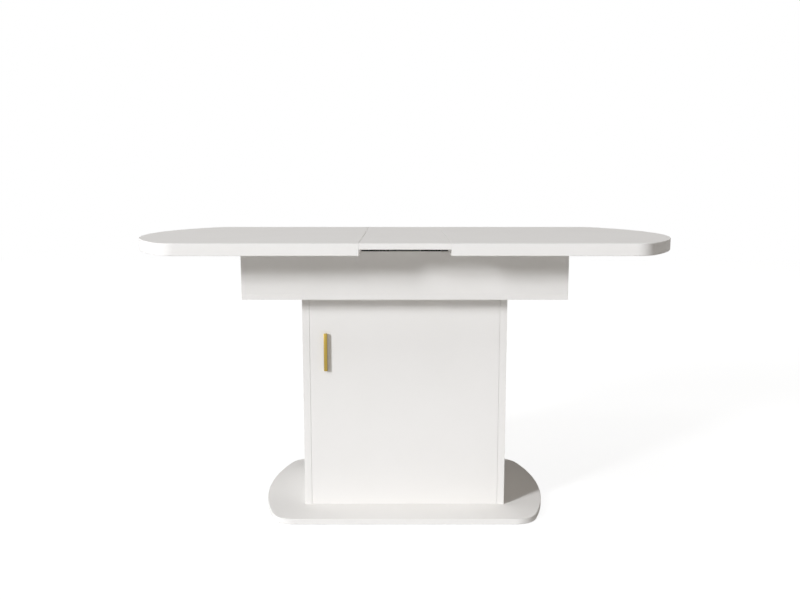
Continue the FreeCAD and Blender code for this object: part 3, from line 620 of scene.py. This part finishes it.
shelfPins = bmesh.new()
for low, high in solidBoxes("shelf_pins"):
    middle = (low + high) / 2
    radius, length = (high.z - low.z) / 2, high.x - low.x
    shoulder, above = (radius * share for share in pin["shoulderShares"])
    outline = [(0, 0), (radius * pin["faceShare"], 0), (radius, radius * pin["chamferShare"]),
               (radius, length - radius * pin["roundShare"]), (shoulder, length - above),
               (0, length)]
    single = bmesh.new()
    turned(single, outline, pin["steps"])
    inside = Vector((-math.copysign(1, middle.x), 0, 0))
    stamp(shelfPins, meshOf(single, "pinShape"), aimed(middle - inside * length / 2, inside))
finishPiece(shelfPins, "roundedPins", "shelf_pins")


# Felt glides: punched discs whose lower rim has gone soft. Shares are of the felt's thickness.

glide = {"soft": 0.6, "bulge": 0.1, "softShare": 0.35, "bulgeShare": 0.7, "steps": 40}

discBoxes = solidBoxes("base_glides")
low, high = discBoxes[0]
radius, thick = (high.x - low.x) / 2, high.z - low.z
disc = bmesh.new()
turned(disc, [(0, 0), (radius - glide["soft"] * mm, 0),
              (radius - glide["bulge"] * mm, thick * glide["softShare"]),
              (radius, thick * glide["bulgeShare"]), (radius, thick), (0, thick)],
       glide["steps"])
discShape = meshOf(disc, "discShape")
glides = bmesh.new()
for low, high in discBoxes:
    middle = (low + high) / 2
    stamp(glides, discShape, Matrix.Translation((middle.x, middle.y, low.z)))
finishPiece(glides, "feltGlides", "base_glides")


# Leaf pads: a rubber core inside a row of soft ribs that are spread evenly over its length

pad = {"bend": 1, "coreBend": 0.5, "rib": 2.6, "pitch": 4, "ribDepth": 0.7, "ribRise": 0.2}

pads = bmesh.new()
sunk = Vector((pad["ribDepth"], pad["ribDepth"], pad["ribRise"])) * mm
for low, high in solidBoxes("leaf_rest_pads"):
    softBlock(pads, low + sunk, high - sunk, pad["coreBend"] * mm)
    length = high.x - low.x
    count = int(length / (pad["pitch"] * mm))
    spread = (length - pad["rib"] * mm) / (count - 1)
    for index in range(count):
        left = low.x + spread * index
        softBlock(pads, Vector((left, low.y, low.z)),
                  Vector((left + pad["rib"] * mm, high.y, high.z)), pad["bend"] * mm)
finishPiece(pads, "ribbedPads", "leaf_rest_pads")
print("small fittings made")


# Studio: a pale floor, a warm fill, a tall soft key light in four panels from the front left,
# and wide soft lamps in front, behind and overhead. A level is the light on a face that looks
# at the lamp.

studio = {
    "aim": (0, 0, 0.55), "distance": 30,
    "lowPanel": {"travel": (1.09, 1, -0.38), "width": 3.6, "height": 3, "level": 0.29},
    "middlePanel": {"travel": (1.09, 1, -0.5), "width": 3.6, "height": 4, "level": 0.28},
    "highPanel": {"travel": (1.09, 1, -0.65), "width": 3.6, "height": 5, "level": 0.26},
    "steepPanel": {"travel": (1.09, 1, -1.6), "width": 3.6, "height": 8, "level": 0.2},
    "frontal": {"travel": (0.05, 1, -0.5), "width": 8, "height": 5, "level": 0.08},
    "rear": {"travel": (-0.35, -1, -0.01), "width": 12, "height": 5, "level": 0.22,
             "gleams": False},
    "overhead": {"travel": (0.3, 0.1, -1), "width": 20, "height": 20, "level": 0.2},
    "panelColour": "#F5F7FB", "overheadColour": "#F6F8FB",
    "fillColour": "#FFF3E6", "fillLevel": 0.19, "fillFade": (-0.9, 0.2), "backdrop": "#FFFFFF",
    "floorSize": 14, "floor": "#D4D3D1", "floorSeen": "#818180", "floorGlow": 0.89,
}


def seenDirectly(tree):
    # 1 where the eye, a mirror or glass looks, 0 for light that only falls on things
    path = addNode(tree, "LightPath", {})
    eyeOrMirror = addNode(tree, "Math", {"operation": "MAXIMUM"},
                          {0: path.outputs["Is Camera Ray"], 1: path.outputs["Is Glossy Ray"]})
    seen = addNode(tree, "Math", {"operation": "MAXIMUM"},
                   {0: eyeOrMirror.outputs[0], 1: path.outputs["Is Transmission Ray"]})
    return seen.outputs[0]


def makeWorld():
    world = bpy.data.worlds.new("studioWorld")
    bpy.context.scene.world = world
    world.use_nodes = True
    tree = world.node_tree
    tree.nodes.clear()
    # the fill fades towards the left, where the key lamp stands
    outward = addNode(tree, "SeparateXYZ", {}, {0: addNode(tree, "TexCoord", {}).outputs[0]})
    dark, full = studio["fillFade"]
    fade = addNode(tree, "MapRange", {
        "interpolation_type": "SMOOTHSTEP", "From Min": dark, "From Max": full,
        "To Min": 0, "To Max": studio["fillLevel"],
    }, {"Value": outward.outputs[0]})
    fill = addNode(tree, "Background", {"Color": linear(studio["fillColour"])},
                   {"Strength": fade.outputs[0]})
    backdrop = addNode(tree, "Background", {"Color": linear(studio["backdrop"]), "Strength": 1})
    both = addNode(tree, "MixShader", {}, {0: seenDirectly(tree), 1: fill.outputs[0],
                                           2: backdrop.outputs[0]})
    addNode(tree, "OutputWorld", {}, {"Surface": both.outputs[0]})


def makeFloor():
    bpy.ops.mesh.primitive_plane_add(size=studio["floorSize"])
    floor = bpy.context.object
    floor.name = "studioFloor"
    material, tree = newMaterial("studioFloor")[:2]
    # light meets a plain pale floor, the eye a darker one that glows, so that shadows are faint
    lit = addNode(tree, "BsdfDiffuse", {"Color": linear(studio["floor"])})
    shaded = addNode(tree, "BsdfDiffuse", {"Color": linear(studio["floorSeen"])})
    glow = addNode(tree, "Emission", {"Strength": studio["floorGlow"]})
    seen = addNode(tree, "AddShader", {}, {0: shaded.outputs[0], 1: glow.outputs[0]})
    both = addNode(tree, "MixShader", {}, {0: seenDirectly(tree), 1: lit.outputs[0],
                                           2: seen.outputs[0]})
    addNode(tree, "OutputMaterial", {}, {"Surface": both.outputs[0]})
    floor.data.materials.append(material)
    floor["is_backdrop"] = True


def makeLamp(name, colour):
    wanted = studio[name]
    lamp = bpy.data.lights.new(name, "AREA")
    lamp.shape = "RECTANGLE"
    lamp.size = wanted["width"]
    lamp.size_y = wanted["height"]
    lamp.color = linear(colour)[:3]
    # a lamp of this power lights a face that looks at it with level times the face's colour
    lamp.energy = wanted["level"] * math.pi ** 2 * studio["distance"] ** 2
    fixture = bpy.data.objects.new(name, lamp)
    travel = Vector(wanted["travel"]).normalized()
    fixture.location = Vector(studio["aim"]) - travel * studio["distance"]
    fixture.rotation_euler = travel.to_track_quat("-Z", "Y").to_euler()
    # the lamp behind would gleam on the top, which the camera sees at a grazing angle
    fixture.visible_glossy = wanted.get("gleams", True)
    bpy.context.scene.collection.objects.link(fixture)


makeWorld()
makeFloor()
for panel in ("lowPanel", "middlePanel", "highPanel", "steepPanel", "frontal", "rear"):
    makeLamp(panel, studio["panelColour"])
makeLamp("overhead", studio["overheadColour"])
print("studio made")


# Camera, fitted to the outlines of the top, apron, cabinet and base. The focal length and the
# sensor are in millimetres, and the picture's middle is off by pixels of a frame that wide.

lens = {
    "place": (-0.011, -2.3268, 0.90055), "tiltDown": 0.142584, "focal": 37.46, "sensor": 36,
    "centreRight": 0.5, "centreUp": 0.968, "frameWidth": 800,
}
camera = bpy.data.cameras.new("camera")
camera.lens = lens["focal"]
camera.sensor_width = lens["sensor"]
camera.shift_x = -lens["centreRight"] / lens["frameWidth"]
camera.shift_y = -lens["centreUp"] / lens["frameWidth"]
viewer = bpy.data.objects.new("camera", camera)
viewer.location = lens["place"]
viewer.rotation_euler = (math.pi / 2 - lens["tiltDown"], 0, 0)
bpy.context.scene.collection.objects.link(viewer)
bpy.context.scene.camera = viewer
bpy.context.scene.view_settings.view_transform = "Standard"
print("camera placed")

low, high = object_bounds()
